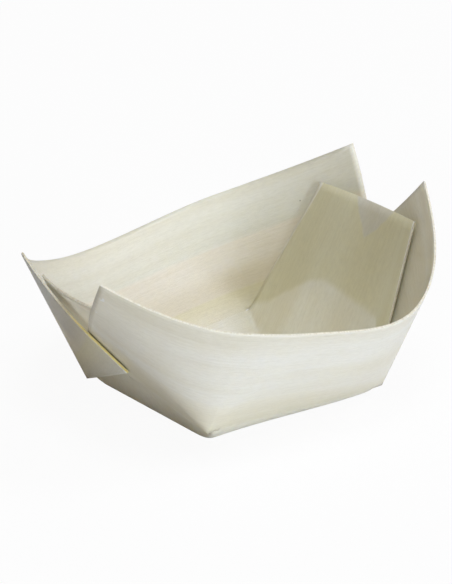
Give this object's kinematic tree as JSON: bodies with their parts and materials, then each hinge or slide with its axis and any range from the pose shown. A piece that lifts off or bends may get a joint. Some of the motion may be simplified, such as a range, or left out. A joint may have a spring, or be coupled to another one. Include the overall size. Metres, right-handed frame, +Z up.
{
  "type": "wooden food boat",
  "caption": "Open food tray folded from a sheet of wood veneer, with a flat bottom, flaring side walls, raised pointed ends and wrapped, glued end tabs.",
  "frame": {"origin": "centre of the underside of the flat bottom, on the plane the boat rests on", "axes": "+X along the boat towards its steeper end, +Y across it towards the back wall, +Z up"},
  "size_m": [0.1215, 0.1058, 0.0577],
  "materials": {
    "veneer": "satin, unfinished pale veneer"
  },
  "bodies": {
    "root": {"veneer_boat": "veneer"}
  },
  "joints": []
}
